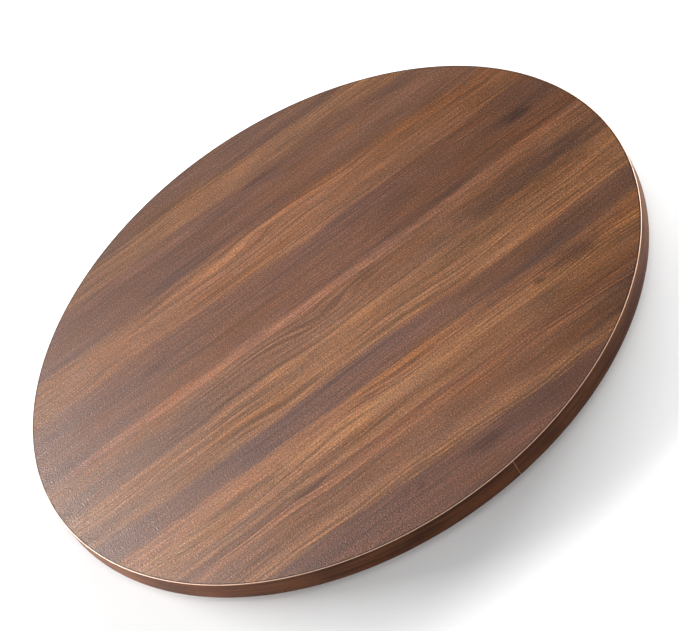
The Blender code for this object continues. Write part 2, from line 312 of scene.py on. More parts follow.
def makeSpeckleGroup():
    # fine even grain, centred on 0
    tree, given, result = newGroup("speckle", {"Vector": "vector", "Size": 0.001}, {"Value": "Float"})
    scale = maths(tree, "DIVIDE", 1.0, given["Size"])
    noise = place(tree, "ShaderNodeTexNoise",
                  {"Vector": given["Vector"], "Scale": scale, "Detail": 2.0, "Roughness": 0.6})
    tree.links.new(maths(tree, "SUBTRACT", noise.outputs["Fac"], 0.5), result["Value"])
    return tree


def makeHandlingGroup():
    # broad cloudy marks of wiping and touch, centred on 0
    tree, given, result = newGroup("handling", {"Vector": "vector", "Size": 0.08}, {"Value": "Float"})
    scale = maths(tree, "DIVIDE", 1.0, given["Size"])
    noise = place(tree, "ShaderNodeTexNoise",
                  {"Vector": given["Vector"], "Scale": scale, "Detail": 4.0, "Roughness": 0.65,
                   "Distortion": 0.6})
    tree.links.new(maths(tree, "SUBTRACT", noise.outputs["Fac"], 0.5), result["Value"])
    return tree


def makeTurnedGroup():
    # concentric tool marks round Z on flats, and rings of them up the walls
    tree, given, result = newGroup(
        "turnedMarks", {"Vector": "vector", "Spacing": 0.0004}, {"Height": "Float", "Tint": "Float"})
    height = place(tree, "ShaderNodeSeparateXYZ", {0: given["Vector"]}).outputs["Z"]
    path = maths(tree, "ADD", fromAxis(tree, given["Vector"]), height)
    across = maths(tree, "DIVIDE", path, given["Spacing"])
    wide = times(tree, across, 0.13)
    marks = place(tree, "ShaderNodeTexNoise", {"W": across, "Scale": 1.0, "Detail": 3.0},
                  noise_dimensions="1D")
    broad = place(tree, "ShaderNodeTexNoise", {"W": wide, "Scale": 1.0, "Detail": 2.0},
                  noise_dimensions="1D")
    tree.links.new(marks.outputs["Fac"], result["Height"])
    tree.links.new(maths(tree, "SUBTRACT", broad.outputs["Fac"], 0.5), result["Tint"])
    return tree


def fibreLayer(tree, vector, layer):
    along, across, detail, seed = layer
    sockets = useGroup(tree, fibre, vector=vector, along=along, across=across, detail=detail, seed=seed)
    return sockets["Value"]


def cloud(tree, vector, size):
    return useGroup(tree, handling, vector=vector, size=size)["Value"]


def dots(tree, vector, size):
    return useGroup(tree, speckle, vector=vector, size=size)["Value"]


fibre = makeFibreGroup()
grainPatch = makePatchGroup()
pores = makePoreGroup()
speckle = makeSpeckleGroup()
handling = makeHandlingGroup()
turnedMarks = makeTurnedGroup()
print("shader groups ready")


# walnut print: figure of the laminate, grain along X

walnut = {
    "reach": 0.42,  # the print runs this far each side of the axis
    # near side to far side: where a stripe ends, how softly, its colour, and its shade at the +X end
    # (partly the print's own tone, partly painted shade where less light falls)
    "stripes": [
        (-0.332, 0.003, (94, 61, 47), 0.68),
        (-0.311, 0.006, (134, 90, 59), 0.62),
        (-0.270, 0.010, (113, 75, 52), 0.50),
        (-0.250, 0.006, (126, 82, 55), 0.50),
        (-0.243, 0.004, (102, 64, 43), 0.58),
        (-0.204, 0.006, (127, 85, 56), 0.58),
        (-0.186, 0.008, (142, 97, 63), 0.62),
        (-0.157, 0.004, (133, 88, 59), 0.64),
        (-0.113, 0.008, (101, 69, 55), 0.70),
        (-0.041, 0.008, (131, 89, 60), 0.72),
        (0.018, 0.008, (115, 78, 56), 0.70),
        (0.036, 0.004, (125, 83, 61), 0.72),
        (0.138, 0.005, (104, 69, 52), 0.64),
        (0.212, 0.007, (122, 81, 55), 0.74),
        (0.299, 0.005, (99, 67, 52), 0.93),
        (0.345, 0.012, (118, 81, 57), 0.86),
        (0.420, 0.000, (99, 69, 54), 0.92),
    ],
    "shadeFrom": -0.02,
    "shadeTo": 0.33,
    # knots, eyes and darker lenses: x, y, half length, half width, strength
    "patches": [
        (0.300, -0.018, 0.170, 0.034, 0.45),
        (0.049, 0.293, 0.045, 0.007, 0.40),
        (0.335, 0.089, 0.024, 0.013, 0.60),
        (0.196, 0.040, 0.080, 0.008, 0.35),
        (0.266, -0.183, 0.050, 0.018, 0.60),
        (0.213, -0.187, 0.012, 0.007, 0.75),
        (-0.175, -0.196, 0.030, 0.009, 0.30),
        (-0.136, -0.247, 0.026, 0.005, 0.60),
        (0.045, -0.352, 0.036, 0.014, 0.50),
        (-0.039, -0.350, 0.006, 0.005, 0.50),
        (-0.215, 0.096, 0.024, 0.012, 0.22),
        (0.060, 0.010, 0.030, 0.012, 0.25),
        (0.140, 0.065, 0.070, 0.022, 0.18),
        (0.320, -0.300, 0.090, 0.030, 0.35),
    ],
    # centres that the growth lines close round: x, y, half length, half width, how far they bow
    "eyes": [
        (-0.230, -0.205, 0.090, 0.024, 0.015),
        (0.040, -0.184, 0.085, 0.018, 0.012),
        (0.010, -0.014, 0.090, 0.016, 0.015),
        (0.240, 0.268, 0.090, 0.016, 0.014),
        (-0.080, 0.185, 0.110, 0.014, 0.012),
    ],
    # noise layers: cycles a metre along and across the grain, detail, seed
    "wander": (2.2, 4.5, 1.0, 31.7),
    "ragged": (11.0, 160.0, 3.0, 77.2),
    "blotch": (6.0, 28.0, 3.0, 128.3),
    "broad": (2.5, 38.0, 3.0, 213.9),
    "narrow": (16.0, 400.0, 3.0, 352.1),
    "wave": (6.0, 9.0, 1.0, 439.4),
    "stroke": (1.6, 320.0, 1.0, 594.6),
    "hair": (2.4, 540.0, 1.0, 641.8),
    "present": (4.0, 24.0, 2.0, 726.5),
    "grain": (520.0, 620.0, 1.0, 53.7),
    "rough": (18.0, 90.0, 3.0, 844.3),
    "warmth": (4.0, 22.0, 3.0, 966.1),
    # how far the layers move stripes, the start of their darker +X ends, and growth lines, in metres
    "wanderShift": 0.030,
    "raggedShift": 0.016,
    "blotchShift": 0.30,
    "waveShift": 0.024,
    # how strongly each kind of mark darkens or lightens
    "broadTone": 0.55,
    "narrowTone": 1.2,
    "lineTone": 0.62,
    "paleTone": 0.34,
    "poreTone": 0.24,
    "speckleTone": 2.7,
    "middleTone": 0.03,  # taken off every tone, so that the marks leave the mean as it is
    "knotTint": (140, 132, 138),
    "coolTint": (234, 240, 255),
    "warmTint": (255, 246, 222),
}


def stripeRamp(tree, factor, colours):
    # one value per stripe, changing over the soft edge between neighbours
    ramp = place(tree, "ShaderNodeValToRGB", {"Fac": factor})
    stops = ramp.color_ramp
    reach = walnut["reach"]
    marks = []
    edges = [(edge, softness) for edge, softness, _, _ in walnut["stripes"]]
    for (edge, softness), colour, following in zip(edges, colours, colours[1:]):
        marks.append((edge - softness / 2, colour))
        marks.append((edge + softness / 2, following))
    while len(stops.elements) < len(marks):
        stops.elements.new(1.0)
    for element, (edge, colour) in zip(stops.elements, marks):
        element.position = (edge + reach) / (2 * reach)
        element.color = colour
    return ramp.outputs["Color"]


def growthLines(tree, given):
    # the across-grain distance, swollen at each eye so that lines bow round it and close inside it
    parts = place(tree, "ShaderNodeSeparateXYZ", {0: given})
    across = parts.outputs["Y"]
    for x, y, length, width, rise in walnut["eyes"]:
        square = ovalSquare(tree, given, x, y, length, width)
        swell = maths(tree, "EXPONENT", times(tree, square, -1.0))
        across = plus(tree, across, swell, rise)
    return parts.outputs["X"], across


def makeWalnutGroup():
    tree, given, result = newGroup(
        "walnutPrint", {"Vector": "vector"},
        {"Color": "Color", "Height": "Float", "Shine": "Float"})
    spot = given["Vector"]
    parts = place(tree, "ShaderNodeSeparateXYZ", {0: spot})

    # stripes wander slowly along the board, and their edges break into fibres
    wander = fibreLayer(tree, spot, walnut["wander"])
    ragged = fibreLayer(tree, spot, walnut["ragged"])
    shift = plus(tree, times(tree, wander, walnut["wanderShift"]), ragged, walnut["raggedShift"])
    across = maths(tree, "ADD", parts.outputs["Y"], shift)
    reach = walnut["reach"]
    factor = maths(tree, "DIVIDE", maths(tree, "ADD", across, reach), 2 * reach)
    colour = stripeRamp(tree, factor, [paint(*row[2]) for row in walnut["stripes"]])
    red = place(tree, "ShaderNodeSeparateColor", {0: colour}).outputs[0]
    lightStripe = remap(tree, red, 0.12, 0.22)
    # the stripes darken towards +X: partly the print's own deeper tone, partly painted shade where less
    # light falls
    shades = [row[3] for row in walnut["stripes"]]  # a deeper shade is also a warmer one
    ends = [(shade, shade * (0.80 + 0.17 * shade), shade * (0.50 + 0.32 * shade), 1) for shade in shades]
    blotch = fibreLayer(tree, spot, walnut["blotch"])
    along = plus(tree, parts.outputs["X"], blotch, walnut["blotchShift"])
    shadeTowardsX = remap(tree, along, walnut["shadeFrom"], walnut["shadeTo"])
    colour = blendColour(tree, "MULTIPLY", shadeTowardsX, colour, stripeRamp(tree, factor, ends))

    # broad and narrow fibres
    broad = fibreLayer(tree, spot, walnut["broad"])
    narrow = fibreLayer(tree, spot, walnut["narrow"])
    tone = plus(tree, times(tree, broad, walnut["broadTone"]), narrow, walnut["narrowTone"])

    # growth lines: thin wavy strokes, dark ones mostly, that come and go
    flowX, flowY = growthLines(tree, spot)
    wave = fibreLayer(tree, spot, walnut["wave"])
    flow = joined(tree, flowX, plus(tree, flowY, wave, walnut["waveShift"]))
    stroke = fibreLayer(tree, flow, walnut["stroke"])
    hair = fibreLayer(tree, flow, walnut["hair"])
    present = remap(tree, fibreLayer(tree, spot, walnut["present"]), -0.20, 0.10)
    here = times(tree, present, plus(tree, 0.35, lightStripe, 0.65))
    lines = maths(tree, "MAXIMUM", remap(tree, stroke, 0.03, 0.17), remap(tree, hair, 0.04, 0.18))
    lines = times(tree, lines, here)
    pale = times(tree, remap(tree, stroke, -0.03, -0.17), here)
    tone = minus(tree, tone, lines, walnut["lineTone"])
    tone = plus(tree, tone, pale, walnut["paleTone"])

    # pores, and the fine even speckle of the print
    dashes = useGroup(tree, pores, vector=flow, along=55.0, across=800.0, amount=1.0)["Mask"]
    dashes = times(tree, dashes, plus(tree, 0.4, lightStripe, 0.6))
    grain = fibreLayer(tree, spot, walnut["grain"])
    tone = minus(tree, tone, dashes, walnut["poreTone"])
    tone = plus(tree, tone, grain, walnut["speckleTone"])

    # knots, eyes and dark lenses
    rough = times(tree, fibreLayer(tree, spot, walnut["rough"]), 1.8)
    dark = 0.0
    for x, y, length, width, strength in walnut["patches"]:
        patch = useGroup(tree, grainPatch, vector=spot, x=x, y=y, length=length, width=width, ragged=rough)
        dark = maths(tree, "MAXIMUM", times(tree, patch["Mask"], strength), dark)

    shade = maths(tree, "EXPONENT", maths(tree, "SUBTRACT", tone, walnut["middleTone"]))
    shaded = place(tree, "ShaderNodeVectorMath", {0: colour, "Scale": shade}, operation="SCALE").outputs[0]
    smoky = blendColour(tree, "MULTIPLY", dark, shaded, paint(*walnut["knotTint"]))
    warmth = fibreLayer(tree, spot, walnut["warmth"])
    cooler, warmer = remap(tree, warmth, 0.0, 0.22), remap(tree, warmth, 0.0, -0.22)
    cool = blendColour(tree, "MULTIPLY", cooler, smoky, paint(*walnut["coolTint"]))
    warm = blendColour(tree, "MULTIPLY", warmer, cool, paint(*walnut["warmTint"]))
    tree.links.new(warm, result["Color"])

    height = minus(tree, times(tree, grain, 1.6), dashes, 0.6)
    tree.links.new(minus(tree, height, lines, 0.25), result["Height"])
    tree.links.new(times(tree, narrow, -0.25), result["Shine"])
    return tree


walnutPrint = makeWalnutGroup()
print("walnut print ready")


# finishes

def laminateFinish():
    look = {
        "base": (120, 80, 55),
        "roughness": 0.40,
        "specular": 0.42,
        "smearSize": 0.11,
        "smears": 0.10,
        "glue": (30, 18, 13),
        "glueCover": 0.95,
        "emboss": 0.0003,
        "embossStrength": 0.9,
    }
    material, tree, shader, here = newMaterial("walnutLaminate", paint(*look["base"]), look["roughness"],
                                               specular=look["specular"])
    figure = useGroup(tree, walnutPrint, vector=here)
    edge = fromAxis(tree, here)
    rim = remap(tree, edge, glueLine["radius"] - glueLine["width"], glueLine["radius"])
    cover = times(tree, rim, look["glueCover"])
    colour = blendColour(tree, "MIX", cover, figure["Color"], paint(*look["glue"]))
    smears = times(tree, cloud(tree, here, look["smearSize"]), look["smears"])
    gloss = maths(tree, "ADD", look["roughness"], maths(tree, "ADD", smears, figure["Shine"]))
    dress(tree, shader, colour, gloss, figure["Height"], look["emboss"], look["embossStrength"])
    return material


edging = {
    "jointAngle": math.radians(-82),
    "gap": 0.0002,
    "dark": (58, 30, 15),
    "light": (92, 53, 29),
    # the colour of open pores, also used for the painted shade along the band's lower edge
    "poreAndShade": (120, 105, 95),
    "bare": (216, 180, 155),  # the plastic under the print, where it is trimmed
    "bareScuffed": (235, 205, 190),
    "inner": (32, 19, 13),  # the flat ring inside the trimmed corner
    "trim": 0.00072,
    "trimBlur": 0.0001,
    "fillet": 0.00025,
    "thickness": 0.0015,
    "jointLine": 0.0005,
    "segments": 512,
    "roughness": 0.55,
    # noise layers of the print, as for the walnut
    "broad": (5.0, 190.0, 2.0, 119.5),
    "narrow": (16.0, 900.0, 2.0, 283.6),
    "blotch": (9.0, 30.0, 2.0, 450.9),
}


def edgingFinish(top, radius):
    material, tree, shader, here = newMaterial("walnutEdging", paint(*edging["dark"]), edging["roughness"],
                                               specular=0.15)
    # measured round the rim from the joint, so that the print starts and ends there
    turned = place(tree, "ShaderNodeVectorRotate",
                   {"Vector": here, "Angle": math.pi - edging["jointAngle"]},
                   rotation_type="Z_AXIS").outputs[0]
    parts = place(tree, "ShaderNodeSeparateXYZ", {0: turned})
    height = parts.outputs["Z"]
    angle = maths(tree, "ARCTAN2", parts.outputs["Y"], parts.outputs["X"])
    length = times(tree, angle, radius)
    strip = joined(tree, length, height)
    broad = fibreLayer(tree, strip, edging["broad"])
    narrow = fibreLayer(tree, strip, edging["narrow"])
    blotch = fibreLayer(tree, strip, edging["blotch"])
    mixed = plus(tree, maths(tree, "ADD", broad, blotch), narrow, 0.6)
    colour = between(tree, mixed, -0.28, 0.30, edging["dark"], edging["light"])
    dashes = useGroup(tree, pores, vector=strip, along=80.0, across=2600.0, amount=0.45)["Mask"]
    colour = blendColour(tree, "MULTIPLY", dashes, colour, paint(*edging["poreAndShade"]))
    # bare plastic on the trimmed corners and at the two butted ends, glue on the flat inside them
    trim, blur = edging["trim"], edging["trimBlur"]
    corner = remap(tree, height, top - trim - blur, top - trim + blur)
    flat = remap(tree, fromAxis(tree, here), radius - trim, radius - trim - 1.5 * blur)
    colour = blendColour(tree, "MIX", times(tree, corner, flat), colour, paint(*edging["inner"]))
    corner = times(tree, corner, maths(tree, "SUBTRACT", 1.0, flat))
    # painted shade: the band's colour is darkened over its lowest 2 mm
    foot = remap(tree, height, board["bottom"] + 0.0022, board["bottom"] + 0.0006)
    foot = times(tree, foot, 0.7)  # painted shade along the band's lower edge
    colour = blendColour(tree, "MULTIPLY", foot, colour, paint(*edging["poreAndShade"]))
    fromJoint = maths(tree, "SUBTRACT", math.pi * radius, maths(tree, "ABSOLUTE", length))
    butt = remap(tree, fromJoint, edging["jointLine"], edging["jointLine"] * 0.6)
    butt = times(tree, butt, plus(tree, 0.30, dots(tree, here, 0.004), 0.6))
    scuffs = remap(tree, dots(tree, here, 0.0022), -0.1, 0.3)
    plastic = blendColour(tree, "MULTIPLY", scuffs, paint(*edging["bare"]), paint(*edging["bareScuffed"]))
    bare = maths(tree, "MAXIMUM", corner, butt)
    gloss = plus(tree, edging["roughness"], narrow, 0.25)
    relief = maths(tree, "SUBTRACT", narrow, dashes)
    dress(tree, shader, blendColour(tree, "MIX", bare, colour, plastic), gloss, relief, 0.00006, 0.6)
    return material


def fibreboardFinish():
    material, tree, shader, here = newMaterial("fibreboard", paint(176, 140, 102), 0.9, specular=0.2)
    fluff = dots(tree, here, 0.0012)
    mixed = plus(tree, fluff, cloud(tree, here, 0.03), 0.5)
    colour = between(tree, mixed, -0.3, 0.3, (158, 122, 86), (196, 162, 122))
    dress(tree, shader, colour, height=fluff, depth=0.0002, strength=0.8)
    return material


def aluminiumFinish():
    look = {
        "base": (205, 206, 210),
        "dull": (188, 190, 195),
        "bright": (220, 221, 224),
        "roughness": 0.33,
        "anisotropy": 0.45,
        "toolSpacing": 0.00035,
        "wipedSize": 0.03,
        "pitSize": 0.0005,
    }
    material, tree, shader, here = newMaterial("turnedAluminium", paint(*look["base"]), look["roughness"],
                                               metallic=1.0)
    marks = useGroup(tree, turnedMarks, vector=here, spacing=look["toolSpacing"])
    tint = plus(tree, marks["Tint"], cloud(tree, here, look["wipedSize"]), 0.8)
    colour = between(tree, tint, -0.3, 0.3, look["dull"], look["bright"])
    gloss = plus(tree, look["roughness"], tint, 0.22)
    gloss = plus(tree, gloss, dots(tree, here, look["pitSize"]), 0.15)
    dress(tree, shader, colour, gloss, marks["Height"], 0.00003, 0.5)
    shader.inputs["Anisotropic"].default_value = look["anisotropy"]
    return material


def bearingSteelFinish():
    look = {
        "base": (215, 216, 218),
        "clean": (222, 223, 226),
        "greased": (190, 186, 176),
        "roughness": 0.12,
    }
    material, tree, shader, here = newMaterial("bearingSteel", paint(*look["base"]), look["roughness"],
                                               metallic=1.0)
    film = cloud(tree, here, 0.002)  # a trace of grease
    colour = between(tree, film, -0.1, 0.3, look["clean"], look["greased"])
    dress(tree, shader, colour, plus(tree, look["roughness"], film, 0.3))
    return material


def nylonFinish():
    look = {"base": (226, 221, 205), "yellow": (214, 207, 188), "pale": (234, 230, 216), "roughness": 0.46}
    material, tree, shader, here = newMaterial("naturalNylon", paint(*look["base"]), look["roughness"])
    grain = dots(tree, here, 0.0003)
    colour = between(tree, cloud(tree, here, 0.012), -0.25, 0.25, look["yellow"], look["pale"])
    dress(tree, shader, colour, plus(tree, look["roughness"], grain, 0.2), grain, 0.00002, 0.5)
    shader.inputs["Subsurface Weight"].default_value = 0.2
    shader.inputs["Subsurface Scale"].default_value = 0.001
    return material


def zincFinish():
    look = {
        "base": (196, 194, 186),
        "dull": (178, 176, 166),
        "bright": (208, 208, 204),
        "straw": (205, 192, 150),
        "roughness": 0.32,
    }
    material, tree, shader, here = newMaterial("zincPlate", paint(*look["base"]), look["roughness"],
                                               metallic=1.0)
    bloom = cloud(tree, here, 0.003)
    frost = dots(tree, here, 0.00025)
    grey = between(tree, bloom, -0.25, 0.25, look["dull"], look["bright"])
    yellowed = remap(tree, bloom, 0.1, 0.35, 0.0, 0.5)
    colour = blendColour(tree, "MIX", yellowed, grey, paint(*look["straw"]))
    gloss = plus(tree, plus(tree, look["roughness"], bloom, 0.3), frost, 0.3)
    dress(tree, shader, colour, gloss, frost, 0.00001, 0.6)
    return material


def blackOxideFinish():
    look = {"base": (44, 44, 47), "dark": (38, 38, 41), "rubbed": (74, 72, 70), "roughness": 0.42}
    material, tree, shader, here = newMaterial("blackOxide", paint(*look["base"]), look["roughness"],
                                               metallic=0.8)
    grain = dots(tree, here, 0.0003)
    colour = between(tree, cloud(tree, here, 0.004), 0.05, 0.3, look["dark"], look["rubbed"])
    dress(tree, shader, colour, plus(tree, look["roughness"], grain, 0.3), grain, 0.00002, 0.6)
    return material


def rubberFinish():
    look = {"base": (34, 34, 35), "clean": (30, 30, 31), "dusty": (66, 64, 62), "roughness": 0.78}
    material, tree, shader, here = newMaterial("footRubber", paint(*look["base"]), look["roughness"],
                                               specular=0.35)
    dust = cloud(tree, here, 0.006)
    grain = dots(tree, here, 0.0004)
    colour = between(tree, plus(tree, dust, grain, 0.5), 0.0, 0.4, look["clean"], look["dusty"])
    dress(tree, shader, colour, plus(tree, look["roughness"], dust, 0.2), grain, 0.00004, 0.8)
    return material


# the board

boardLow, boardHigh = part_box("edge_band")
sheetLow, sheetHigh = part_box("top_laminate")
rimRadius = round(max(boardHigh.x, boardHigh.y), 4)  # a polygon in the frame, a circle here
board = {
    "top": boardHigh.z,
    "bottom": boardLow.z,
    "bandGap": 0.0001,  # between the sheets and the band round them
    "sheet": sheetHigh.z - sheetLow.z,
    "sheetEdge": 0.00012,
    "segments": 512,
}
board["panelRadius"] = rimRadius - edging["thickness"] - board["bandGap"]
glueLine = {"radius": board["panelRadius"], "width": 0.0013}

laminate = laminateFinish()
edgingMaterial = edgingFinish(board["top"], rimRadius)
aluminium = aluminiumFinish()
bearingSteel = bearingSteelFinish()
nylon = nylonFinish()
zincPlate = zincFinish()
blackOxide = blackOxideFinish()
footRubber = rubberFinish()
print("finishes ready")


def sheetOutline(low, high):
    radius = board["panelRadius"]
    edge = board["sheetEdge"]
    outline = [(0, low, 0), (radius, low, edge), (radius, high, edge), (0, high, 0)]
    return softCorners(outline, closed=False)


def makeLaminate(name, low, node, holes=None):
    bm = bmesh.new()
    turn(bm, sheetOutline(low, low + board["sheet"]), board["segments"], closed=False)
    piece = newPiece(name, bm, laminate)
    if holes is not None:
        carve(piece, holes)
    keepFlatsFlat(piece)
    stands(piece, "top", "walnut_laminate", node)


def makeEdgeBand():
    # one strip bent round the board, with a narrow gap where its ends meet
    inner = rimRadius - edging["thickness"]
    trim, fillet = edging["trim"], edging["fillet"]
    top, bottom = board["top"], board["bottom"]
    outline = softCorners([
        (inner, bottom, 0),
        (rimRadius - trim, bottom, fillet),
        (rimRadius, bottom + trim, fillet),
        (rimRadius, top - trim, fillet),
        (rimRadius - trim, top, fillet),
        (inner, top, 0),
    ], steps=3)
    gap = edging["gap"] / rimRadius
    columns = []
    bm = bmesh.new()
    for step in range(edging["segments"] + 1):
        angle = edging["jointAngle"] + gap / 2 + (2 * math.pi - gap) * step / edging["segments"]
        along, across = math.cos(angle), math.sin(angle)
        columns.append([bm.verts.new((r * along, r * across, z)) for r, z in outline])
    for here, there in zip(columns, columns[1:]):
        for index in range(len(outline)):
            after = (index + 1) % len(outline)
            bm.faces.new((here[index], there[index], there[after], here[after]))
    bm.faces.new(columns[0])
    bm.faces.new(columns[-1])
    piece = newPiece("edgeBand", bm, edgingMaterial, cornerDegrees=50)
    keepFlatsFlat(piece)
    stands(piece, "top", "walnut_edging", "edge_band")


# the bearing

bearing = {
    "ringWidth": 0.0235,
    "ringGap": 0.0025,
    "groove": 0.0010,  # flat at the bottom of the V
    "fillet": 0.0006,
    "mouthFillet": 0.0002,  # at the lips of the V
    "segments": 360,
    "cageThickness": 0.0012,
    "cageFillet": 0.0003,
    "pocketSlack": 0.0003,
    "pocketSides": 40,
    "ballCount": 30,
    "screwCount": 8,
    "footCount": 8,
}
bearing["outerRadius"] = round(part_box("base_ring")[1].x, 4)
bearing["pitch"] = bearing["outerRadius"] - bearing["ringWidth"] - bearing["ringGap"] / 2
ballLow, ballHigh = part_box("ball_01")
bearing["ballRadius"] = (ballHigh.z - ballLow.z) / 2
bearing["height"] = (ballHigh.z + ballLow.z) / 2


def ringOutline(node, side):
    # a rectangle with a V groove on the face that the balls run on; side is +1 outside them
    low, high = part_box(node)
    face = bearing["pitch"] + side * bearing["ringGap"] / 2
    back = face + side * bearing["ringWidth"]
    tip = bearing["pitch"] + side * (bearing["ballRadius"] + bearing["pocketSlack"]) * math.sqrt(2)
    mouth = abs(tip - face)
    flat = bearing["groove"] / 2
    middle = bearing["height"]
    fillet = bearing["fillet"]
    return softCorners([
        (back, low.z, fillet),
        (back, high.z, fillet),
        (face, high.z, fillet),
        (face, middle + mouth, bearing["mouthFillet"]),
        (tip - side * flat, middle + flat, 0),
        (tip - side * flat, middle - flat, 0),
        (face, middle - mouth, bearing["mouthFillet"]),
        (face, low.z, fillet),
    ])


def spotsRound(node, count):
    # the nodes of one kind stand evenly round the axis
    spots = []
    for number in range(1, count + 1):
        low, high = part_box(f"{node}_{number}")
        spots.append(((low.x + high.x) / 2, (low.y + high.y) / 2, low.z, high.z))
    return spots


hole = {
    "slack": 0.0003,
    "chamfer": 0.0004,
    "overcut": 0.001,  # how far a cutting shape stands out of the metal
    "seat": 0.0006,  # room round a foot's barb
    "mouth": 0.0006,  # chamfer of the loading hole
    "sides": 48,
}
screw = {
    "headRadius": 0.0040,
    "headHeight": 0.0024,
    "coreRadius": 0.0013,
    "threadRadius": 0.0020,
    "pitch": 0.0018,
    "ridge": 3.2,  # a larger value makes a narrower thread
    "tip": 0.005,  # the thread narrows over this length
    "neck": 0.0004,  # plain shank below the head
    "edge": 0.0002,
    "recessArm": 0.0021,
    "recessWidth": 0.00085,
    "recessDepth": 0.0017,
    "recessTaper": 0.55,
    "turned": 0.7,  # each screw stops at its own angle, in radians
    "around": 32,
}
foot = {
    "radius": 0.0080,
    "height": 0.0040,
    "soleInset": 0.0008,
    "soleRise": 0.0009,
    "stem": 0.0025,
    "barb": 0.0034,
    "barbLow": 0.0141,
    "barbHeight": 0.0019,
    "barbLand": 0.0005,
    "barbTip": 0.0018,
    "grooves": (0.0026, 0.0045),  # grip rings in the sole
    "grooveDepth": 0.0005,
    "grooveFloor": 0.0006,
    "grooveSlope": 0.0003,
    "around": 48,
}
plug = {
    "angle": math.radians(202.5),
    "radius": 0.0033,
    "socket": 0.0023,
    "socketDepth": 0.004,
    "socketChamfer": 0.0004,
    "sink": 0.001,
    "trackFlat": 0.45,  # the inner end is hollowed like the track, and flat over this share of it
    "trackDepth": 0.0016,
    "ballRoom": 0.0001,
    "around": 48,
}
screwSpots = spotsRound("ring_screw", bearing["screwCount"])
footSpots = spotsRound("rubber_foot", bearing["footCount"])


def screwHoles(low, high, head=None):
    # clearance holes as closed shapes to carve with, countersunk from head down if it is given
    bm = bmesh.new()
    shaft = screw["threadRadius"] + hole["slack"]
    outline = [(0, low), (shaft, low), (shaft, high), (0, high)]
    if head is not None:
        mouth = screw["headRadius"] + hole["slack"]
        outline = [(0, low), (mouth, low), (mouth, head), (shaft, head + screw["headHeight"]),
                   (shaft, high), (0, high)]
    for x, y, _, _ in screwSpots:
        turn(bm, outline, hole["sides"], closed=False, at=Matrix.Translation((x, y, 0)))
    return bm


def makeTopRing():
    low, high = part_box("top_ring")
    bm = bmesh.new()
    turn(bm, ringOutline("top_ring", -1), bearing["segments"])
    piece = newPiece("topRing", bm, aluminium)
    sunk = 0.0002  # the heads sit just inside the metal
    carve(piece, screwHoles(low.z - hole["overcut"], high.z + hole["overcut"], low.z + sunk))
    keepFlatsFlat(piece)
    stands(piece, "top", "aluminium", "top_ring")


def footHoleOutline(low, high):
    # chamfered at both ends, and wider at the top where the barb spreads
    chamfer, overcut = hole["chamfer"], hole["overcut"]
    stem = foot["stem"] + hole["slack"]
    seat = foot["barb"] + hole["seat"]
    shelf = foot["barbLow"] - hole["slack"]
    return [
        (0, low - overcut),
        (stem + chamfer, low - overcut),
        (stem + chamfer, low),
        (stem, low + chamfer),
        (stem, shelf),
        (seat, shelf),
        (seat, high - chamfer),
        (seat + chamfer, high),
        (seat + chamfer, high + overcut),
        (0, high + overcut),
    ]


def makeBaseRing():
    low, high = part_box("base_ring")
    bm = bmesh.new()
    turn(bm, ringOutline("base_ring", 1), bearing["segments"])
    piece = newPiece("baseRing", bm, aluminium)
    cutters = bmesh.new()
    outline = footHoleOutline(low.z, high.z)
    for x, y, _, _ in footSpots:
        turn(cutters, outline, hole["sides"], closed=False, at=Matrix.Translation((x, y, 0)))
    bore = plug["radius"] + hole["slack"]
    mouth = bore + hole["mouth"]
    reach = bearing["outerRadius"] - bearing["pitch"]
    start = reach - hole["chamfer"]
    outside = reach + 2 * hole["overcut"]
    outline = [(0, 0), (bore, 0), (bore, start), (mouth, start + hole["mouth"]),
               (mouth, outside), (0, outside)]
    turn(cutters, outline, hole["sides"], closed=False, at=radial(bearing["pitch"], plug["angle"]))
    carve(piece, cutters)
    keepFlatsFlat(piece)
    stands(piece, "base", "aluminium", "base_ring")


def radial(radius, angle):
    # a shape made along Z points outwards from the axis at the balls' height
    spot = Vector((radius * math.cos(angle), radius * math.sin(angle), bearing["height"]))
    outwards = Matrix.Rotation(angle, 4, "Z") @ Matrix.Rotation(math.pi / 2, 4, "Y")
    return Matrix.Translation(spot) @ outwards


def makeCage():
    low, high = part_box("ball_cage")
    thick, fillet = bearing["cageThickness"], bearing["cageFillet"]
    inner, outer = bearing["pitch"] - thick / 2, bearing["pitch"] + thick / 2
    outline = [(inner, low.z, fillet), (outer, low.z, fillet),
               (outer, high.z, fillet), (inner, high.z, fillet)]
    bm = bmesh.new()
    turn(bm, softCorners(outline, steps=3), bearing["segments"])
    piece = newPiece("ballCage", bm, nylon)
    pockets = bmesh.new()
    pocket = bearing["ballRadius"] + bearing["pocketSlack"]
    outline = [(0, -thick), (pocket, -thick), (pocket, thick), (0, thick)]
    for number in range(bearing["ballCount"]):
        spot = radial(bearing["pitch"], 2 * math.pi * number / bearing["ballCount"])
        turn(pockets, outline, bearing["pocketSides"], closed=False, at=spot)
    carve(piece, pockets)
    keepFlatsFlat(piece)
    stands(piece, "cage", "cage_nylon", "ball_cage")


def another(first, name, number):
    # the first piece itself, or one more that shares its mesh
    if number == 1:
        return first
    piece = bpy.data.objects.new(name, first.data)
    bpy.context.scene.collection.objects.link(piece)
    return piece


def makeBalls():
    bm = bmesh.new()
    bmesh.ops.create_icosphere(bm, subdivisions=4, radius=bearing["ballRadius"])
    first = newPiece("ball01", bm, bearingSteel, cornerDegrees=180)
    for number in range(1, bearing["ballCount"] + 1):
        piece = another(first, f"ball{number:02d}", number)
        low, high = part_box(f"ball_{number:02d}")
        piece.location = (low + high) / 2
        stands(piece, "cage", "ball_steel", f"ball_{number:02d}")


